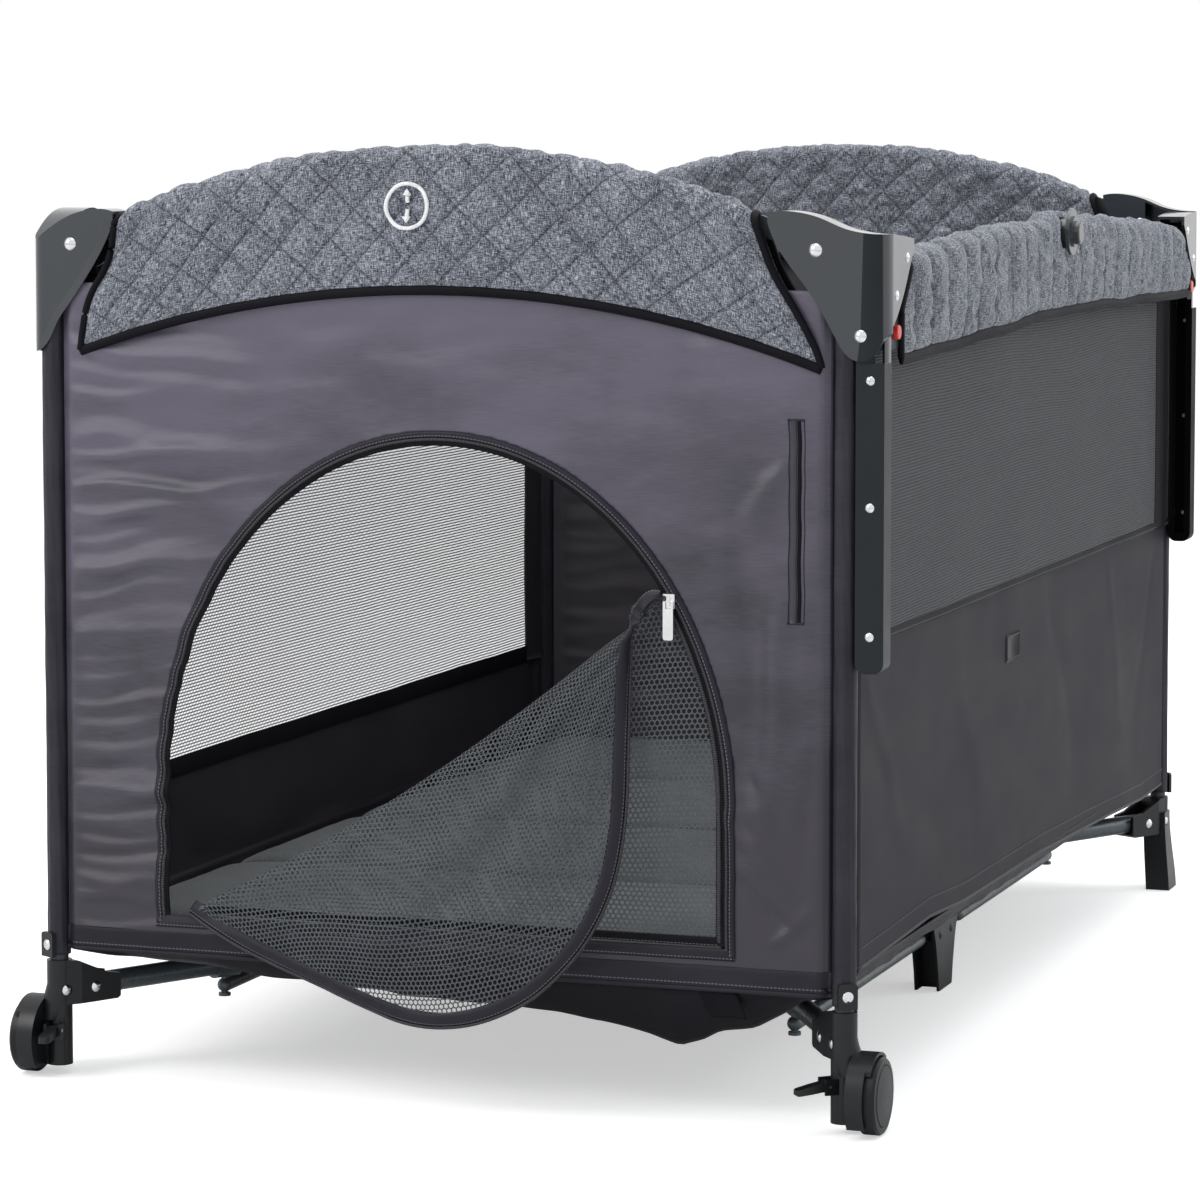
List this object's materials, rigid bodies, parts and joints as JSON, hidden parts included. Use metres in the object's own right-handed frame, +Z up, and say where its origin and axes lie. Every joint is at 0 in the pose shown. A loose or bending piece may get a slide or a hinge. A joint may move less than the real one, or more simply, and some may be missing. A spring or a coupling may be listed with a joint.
{
  "type": "playpen travel cot",
  "caption": "Folding playpen travel cot with quilted arched end rails, mesh sides, an unzipped arched mesh door, a drop side on tracks, casters at one end and a folding base.",
  "frame": {"origin": "centre of the bounding box in X and Y, on the floor plane in Z", "axes": "+Z up, +Y along the long side from the door end (casters) to the back end, +X toward the drop side"},
  "size_m": [0.7976, 1.3382, 0.812],
  "materials": {
    "frame_tube": "satin powder coat",
    "base_tube": "satin powder coat",
    "cap_plastic": "glossy moulded",
    "housing_plastic": "satin moulded",
    "fastener": "bright plated",
    "wheel_plastic": "satin",
    "red_plastic": "glossy",
    "rail_steel": "satin",
    "latch_plastic": "satin moulded",
    "wall_fabric": "satin woven polyester",
    "mesh_fabric": "open mesh",
    "quilt_fabric": "quilted melange",
    "mattress_fabric": "matt woven",
    "zip_metal": "bright plated"
  },
  "bodies": {
    "corner_fl": {"leg_tube_fl": "frame_tube", "cap_fl": "cap_plastic", "caster_housing_fl": "housing_plastic", "fasteners_fl": "fastener", "walls": "wall_fabric", "mesh_left": "mesh_fabric", "quilt_ends": "quilt_fabric", "quilt_left": "quilt_fabric", "floor_cloth": "wall_fabric", "door": "mesh_fabric", "zip_slider": "zip_metal"},
    "corner_fr": {"leg_tube_fr": "frame_tube", "cap_fr": "cap_plastic", "caster_housing_fr": "housing_plastic", "fasteners_fr": "fastener"},
    "corner_bl": {"leg_tube_bl": "frame_tube", "cap_bl": "cap_plastic", "foot_bl": "housing_plastic", "fasteners_bl": "fastener"},
    "corner_br": {"leg_tube_br": "frame_tube", "cap_br": "cap_plastic", "foot_br": "housing_plastic", "fasteners_br": "fastener"},
    "hub": {"hub": "housing_plastic"},
    "carrier_fr": {"drop_carrier_fr": "housing_plastic", "mesh_right": "mesh_fabric", "quilt_right": "quilt_fabric"},
    "carrier_br": {"drop_carrier_br": "housing_plastic"},
    "mattress": {"mattress": "mattress_fabric"},
    "zip_pull": {"zip_pull": "zip_metal"},
    "base_fl": {"base_tube_fl": "base_tube"},
    "brace_fl": {"side_brace_fl": "base_tube"},
    "base_fr": {"base_tube_fr": "base_tube"},
    "brace_fr": {"side_brace_fr": "base_tube"},
    "base_bl": {"base_tube_bl": "base_tube"},
    "brace_bl": {"side_brace_bl": "base_tube"},
    "base_br": {"base_tube_br": "base_tube"},
    "brace_br": {"side_brace_br": "base_tube"},
    "wheel_fl": {"wheel_fl": "wheel_plastic"},
    "brake_fl": {"brake_lever_fl": "housing_plastic"},
    "wheel_fr": {"wheel_fr": "wheel_plastic"},
    "brake_fr": {"brake_lever_fr": "housing_plastic"},
    "mid_foot_left": {"mid_foot_left": "housing_plastic"},
    "latch_left": {"latch_left": "latch_plastic"},
    "latch_button_left": {"latch_button_left": "latch_plastic"},
    "rail_left_front": {"rail_left_front": "rail_steel"},
    "rail_left_back": {"rail_left_back": "rail_steel"},
    "mid_foot_right": {"mid_foot_right": "housing_plastic"},
    "latch_right": {"latch_right": "latch_plastic"},
    "latch_button_right": {"latch_button_right": "latch_plastic"},
    "rail_right_front": {"rail_right_front": "rail_steel"},
    "rail_right_back": {"rail_right_back": "rail_steel"},
    "latch_front": {"latch_front": "latch_plastic"},
    "rail_front_left": {"rail_front_left": "rail_steel"},
    "rail_front_right": {"rail_front_right": "rail_steel"},
    "latch_back": {"latch_back": "latch_plastic"},
    "rail_back_left": {"rail_back_left": "rail_steel"},
    "rail_back_right": {"rail_back_right": "rail_steel"},
    "release_fr": {"release_button_fr": "red_plastic"},
    "release_br": {"release_button_br": "red_plastic"}
  },
  "joints": [
    {"name": "fold", "type": "hinge", "parent": "corner_fl", "child": "base_fl", "pos_m": [-0.34843, -0.57486, 0.074], "axis": [0.8695, -0.4939, 0], "range_deg": [0, 80], "deforming": ["walls", "mesh_left", "quilt_ends", "quilt_left", "floor_cloth", "door", "zip_slider", "mesh_right", "quilt_right", "mattress", "zip_pull"]},
    {"name": "fold_hub", "type": "hinge", "parent": "base_fl", "child": "hub", "pos_m": [-0.03541, -0.02377, 0.074], "axis": [0.8695, -0.4939, 0], "range_deg": [-80.04, 0]},
    {"name": "fold_base_fr", "type": "hinge", "parent": "hub", "child": "base_fr", "pos_m": [0.01991, -0.02377, 0.074], "axis": [0.8695, 0.4939, 0], "range_deg": [0, 80.04]},
    {"name": "fold_corner_fr", "type": "hinge", "parent": "base_fr", "child": "corner_fr", "pos_m": [0.33293, -0.57486, 0.074], "axis": [0.8695, 0.4939, 0], "range_deg": [-80.04, 0]},
    {"name": "fold_base_bl", "type": "hinge", "parent": "hub", "child": "base_bl", "pos_m": [-0.03541, 0.07361, 0.074], "axis": [-0.8695, -0.4939, 0], "range_deg": [0, 80.04]},
    {"name": "fold_corner_bl", "type": "hinge", "parent": "base_bl", "child": "corner_bl", "pos_m": [-0.34843, 0.6247, 0.074], "axis": [-0.8695, -0.4939, 0], "range_deg": [-80.04, 0]},
    {"name": "fold_base_br", "type": "hinge", "parent": "hub", "child": "base_br", "pos_m": [0.01991, 0.07361, 0.074], "axis": [-0.8695, 0.4939, 0], "range_deg": [0, 80.04]},
    {"name": "fold_corner_br", "type": "hinge", "parent": "base_br", "child": "corner_br", "pos_m": [0.33293, 0.6247, 0.074], "axis": [-0.8695, 0.4939, 0], "range_deg": [-80.04, 0]},
    {"name": "fold_brace_fl", "type": "hinge", "parent": "base_fl", "child": "brace_fl", "pos_m": [-0.27484, -0.4453, 0.074], "axis": [0, 0, 1], "range_deg": [-25.12, 0]},
    {"name": "fold_brace_fr", "type": "hinge", "parent": "base_fr", "child": "brace_fr", "pos_m": [0.25934, -0.4453, 0.074], "axis": [0, 0, 1], "range_deg": [0, 25.12]},
    {"name": "fold_brace_bl", "type": "hinge", "parent": "base_bl", "child": "brace_bl", "pos_m": [-0.27484, 0.49514, 0.074], "axis": [0, 0, 1], "range_deg": [0, 25.12]},
    {"name": "fold_brace_br", "type": "hinge", "parent": "base_br", "child": "brace_br", "pos_m": [0.25934, 0.49514, 0.074], "axis": [0, 0, 1], "range_deg": [-25.12, 0]},
    {"name": "fold_mid_foot_left", "type": "hinge", "parent": "brace_fl", "child": "mid_foot_left", "pos_m": [-0.27484, 0.00492, 0.0545], "axis": [0.9255, -0.2838, -0.2507], "range_deg": [-83.25, 0]},
    {"name": "fold_mid_foot_right", "type": "hinge", "parent": "brace_fr", "child": "mid_foot_right", "pos_m": [0.25934, 0.00492, 0.0545], "axis": [0.9255, 0.2838, 0.2507], "range_deg": [-83.25, 0]},
    {"name": "fold_rail_front_left", "type": "hinge", "parent": "corner_fl", "child": "rail_front_left", "pos_m": [-0.33975, -0.60008, 0.723], "axis": [0, 1, 0], "range_deg": [0, 80.04]},
    {"name": "fold_rail_front_right", "type": "hinge", "parent": "corner_fr", "child": "rail_front_right", "pos_m": [0.32425, -0.60008, 0.723], "axis": [0, -1, 0], "range_deg": [0, 80.04]},
    {"name": "fold_latch_front", "type": "hinge", "parent": "rail_front_left", "child": "latch_front", "pos_m": [-0.02673, -0.60008, 0.723], "axis": [0, 1, 0], "range_deg": [-80.04, 0]},
    {"name": "fold_rail_back_left", "type": "hinge", "parent": "corner_bl", "child": "rail_back_left", "pos_m": [-0.33975, 0.64992, 0.723], "axis": [0, 1, 0], "range_deg": [0, 80.04]},
    {"name": "fold_rail_back_right", "type": "hinge", "parent": "corner_br", "child": "rail_back_right", "pos_m": [0.32425, 0.64992, 0.723], "axis": [0, -1, 0], "range_deg": [0, 80.04]},
    {"name": "fold_latch_back", "type": "hinge", "parent": "rail_back_left", "child": "latch_back", "pos_m": [-0.02673, 0.64992, 0.723], "axis": [0, 1, 0], "range_deg": [-80.04, 0]},
    {"name": "fold_rail_left_front", "type": "hinge", "parent": "corner_fl", "child": "rail_left_front", "pos_m": [-0.36275, -0.55008, 0.712], "axis": [-1, 0, 0], "range_deg": [0, 80.04]},
    {"name": "fold_rail_left_back", "type": "hinge", "parent": "corner_bl", "child": "rail_left_back", "pos_m": [-0.36275, 0.59992, 0.712], "axis": [1, 0, 0], "range_deg": [0, 80.04]},
    {"name": "fold_latch_left", "type": "hinge", "parent": "rail_left_front", "child": "latch_left", "pos_m": [-0.36275, 0.00101, 0.712], "axis": [-1, 0, 0], "range_deg": [-80.04, 0]},
    {"name": "fold_rail_right_front", "type": "hinge", "parent": "carrier_fr", "child": "rail_right_front", "pos_m": [0.36975, -0.55008, 0.712], "axis": [-1, 0, 0], "range_deg": [0, 80.04]},
    {"name": "fold_rail_right_back", "type": "hinge", "parent": "carrier_br", "child": "rail_right_back", "pos_m": [0.36975, 0.59992, 0.712], "axis": [1, 0, 0], "range_deg": [0, 80.04]},
    {"name": "fold_latch_right", "type": "hinge", "parent": "rail_right_front", "child": "latch_right", "pos_m": [0.36975, 0.00101, 0.712], "axis": [-1, 0, 0], "range_deg": [-80.04, 0]},
    {"name": "drop_side", "type": "slide", "parent": "corner_fr", "child": "carrier_fr", "axis": [0, 0, 1], "range_m": [-0.25, 0]},
    {"name": "drop_side_back", "type": "slide", "parent": "corner_br", "child": "carrier_br", "axis": [0, 0, 1], "range_m": [-0.25001, 0]},
    {"name": "press_release_fr", "type": "slide", "parent": "carrier_fr", "child": "release_fr", "axis": [-1, 0, 0], "range_m": [0, 0.003]},
    {"name": "press_release_br", "type": "slide", "parent": "carrier_br", "child": "release_br", "axis": [-1, 0, 0], "range_m": [0, 0.003]},
    {"name": "press_latch_left", "type": "slide", "parent": "latch_left", "child": "latch_button_left", "axis": [1, 0, 0], "range_m": [0, 0.005]},
    {"name": "press_latch_right", "type": "slide", "parent": "latch_right", "child": "latch_button_right", "axis": [-1, 0, 0], "range_m": [0, 0.005]},
    {"name": "roll_wheel_fl", "type": "hinge", "parent": "corner_fl", "child": "wheel_fl", "pos_m": [-0.38875, -0.60008, 0.032], "axis": [1, 0, 0], "continuous": true},
    {"name": "roll_wheel_fr", "type": "hinge", "parent": "corner_fr", "child": "wheel_fr", "pos_m": [0.37325, -0.60008, 0.032], "axis": [1, 0, 0], "continuous": true},
    {"name": "brake_fl", "type": "hinge", "parent": "corner_fl", "child": "brake_fl", "pos_m": [-0.36115, -0.616, 0.04], "axis": [0.995, 0.1, 0], "range_deg": [0, 14]},
    {"name": "brake_fr", "type": "hinge", "parent": "corner_fr", "child": "brake_fr", "pos_m": [0.33524, -0.61065, 0.04], "axis": [0.6606, -0.7507, 0], "range_deg": [0, 14]},
    {"name": "swing_zip_pull", "type": "hinge", "parent": "corner_fl", "child": "zip_pull", "pos_m": [0.20025, -0.61538, 0.434], "axis": [-1, 0, 0], "range_deg": [0, 70]},
    {"name": "lift_mattress", "type": "slide", "parent": "hub", "child": "mattress", "axis": [0, 0, 1], "range_m": [0, 0.252]}
  ],
  "couplings": [
    {"joint": "fold_hub", "follows": "fold", "ratio": -1},
    {"joint": "fold_base_fr", "follows": "fold", "ratio": 1},
    {"joint": "fold_corner_fr", "follows": "fold", "ratio": -1},
    {"joint": "fold_base_bl", "follows": "fold", "ratio": 1},
    {"joint": "fold_corner_bl", "follows": "fold", "ratio": -1},
    {"joint": "fold_base_br", "follows": "fold", "ratio": 1},
    {"joint": "fold_corner_br", "follows": "fold", "ratio": -1},
    {"joint": "fold_brace_fl", "follows": "fold", "ratio": -0.31378},
    {"joint": "fold_brace_fr", "follows": "fold", "ratio": 0.31378},
    {"joint": "fold_brace_bl", "follows": "fold", "ratio": 0.31378},
    {"joint": "fold_brace_br", "follows": "fold", "ratio": -0.31378},
    {"joint": "fold_mid_foot_left", "follows": "fold", "ratio": -1.0401},
    {"joint": "fold_mid_foot_right", "follows": "fold", "ratio": -1.0401},
    {"joint": "fold_rail_front_left", "follows": "fold", "ratio": 1},
    {"joint": "fold_rail_front_right", "follows": "fold", "ratio": 1},
    {"joint": "fold_latch_front", "follows": "fold", "ratio": -1},
    {"joint": "fold_rail_back_left", "follows": "fold", "ratio": 1},
    {"joint": "fold_rail_back_right", "follows": "fold", "ratio": 1},
    {"joint": "fold_latch_back", "follows": "fold", "ratio": -1},
    {"joint": "fold_rail_left_front", "follows": "fold", "ratio": 1},
    {"joint": "fold_rail_left_back", "follows": "fold", "ratio": 1},
    {"joint": "fold_latch_left", "follows": "fold", "ratio": -1},
    {"joint": "fold_rail_right_front", "follows": "fold", "ratio": 1},
    {"joint": "fold_rail_right_back", "follows": "fold", "ratio": 1},
    {"joint": "fold_latch_right", "follows": "fold", "ratio": -1},
    {"joint": "drop_side_back", "follows": "drop_side", "ratio": 1},
    {"joint": "lift_mattress", "follows": "fold", "m_per_rad": 0.18}
  ]
}
